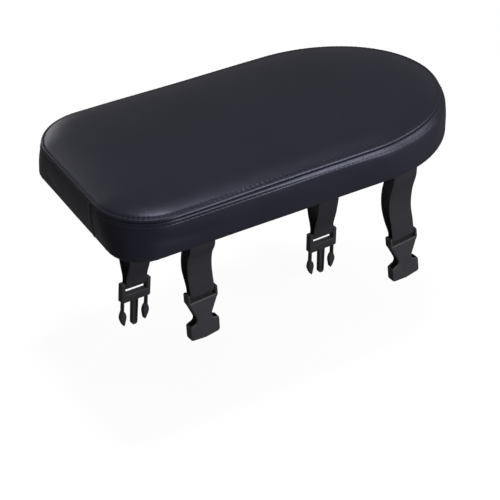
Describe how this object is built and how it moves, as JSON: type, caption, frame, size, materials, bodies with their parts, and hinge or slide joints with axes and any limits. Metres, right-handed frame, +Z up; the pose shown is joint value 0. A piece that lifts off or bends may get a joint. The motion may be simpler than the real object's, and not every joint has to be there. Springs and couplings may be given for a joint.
{
  "type": "bicycle rear rack seat cushion",
  "caption": "Padded passenger cushion for a bicycle rear rack: leatherette over foam and board, with hanging webbing straps that end in side-release buckles.",
  "frame": {"origin": "centre of the flat cloth underside that lies on the rack", "axes": "+X from the straight front edge to the round rear edge, +Z up out of the seat, +Y to the right side where the prong buckles hang"},
  "size_m": [0.3704, 0.2082, 0.2575],
  "materials": {
    "plywood": "raw plywood board",
    "foam": "grey open-cell foam",
    "leatherette": "black smooth leatherette, satin",
    "leatherette_band": "black smooth leatherette, satin",
    "lining_cloth": "black non-woven cloth",
    "webbing": "black woven webbing",
    "buckle_plastic": "black moulded plastic, satin"
  },
  "bodies": {
    "cushion": {"base_board": "plywood", "foam_pad": "foam", "cover_top_panel": "leatherette", "cover_side_band": "leatherette_band", "bottom_lining": "lining_cloth", "front_left_strap": "webbing", "rear_left_strap": "webbing", "front_right_strap": "webbing", "rear_right_strap": "webbing"},
    "front_left_socket_buckle": {"front_left_socket_buckle": "buckle_plastic"},
    "rear_left_socket_buckle": {"rear_left_socket_buckle": "buckle_plastic"},
    "front_right_prong_buckle": {"front_right_prong_buckle": "buckle_plastic"},
    "rear_right_prong_buckle": {"rear_right_prong_buckle": "buckle_plastic"}
  },
  "joints": [
    {"name": "front_left_socket_buckle_swing", "type": "hinge", "parent": "cushion", "child": "front_left_socket_buckle", "pos_m": [-0.1022, -0.072, -0.0676], "axis": [0.9969, 0.0785, 0], "range_deg": [-90, 90]},
    {"name": "rear_left_socket_buckle_swing", "type": "hinge", "parent": "cushion", "child": "rear_left_socket_buckle", "pos_m": [0.1081, -0.072, -0.0843], "axis": [0.9957, 0.0609, 0.0698], "range_deg": [-90, 90]},
    {"name": "front_right_prong_buckle_swing", "type": "hinge", "parent": "cushion", "child": "front_right_prong_buckle", "pos_m": [-0.1038, 0.072, -0.1442], "axis": [0.9764, 0.1722, -0.1305], "range_deg": [-90, 90]},
    {"name": "rear_right_prong_buckle_swing", "type": "hinge", "parent": "cushion", "child": "rear_right_prong_buckle", "pos_m": [0.1068, 0.072, -0.1633], "axis": [0.9914, 0.113, -0.0663], "range_deg": [-90, 90]}
  ]
}
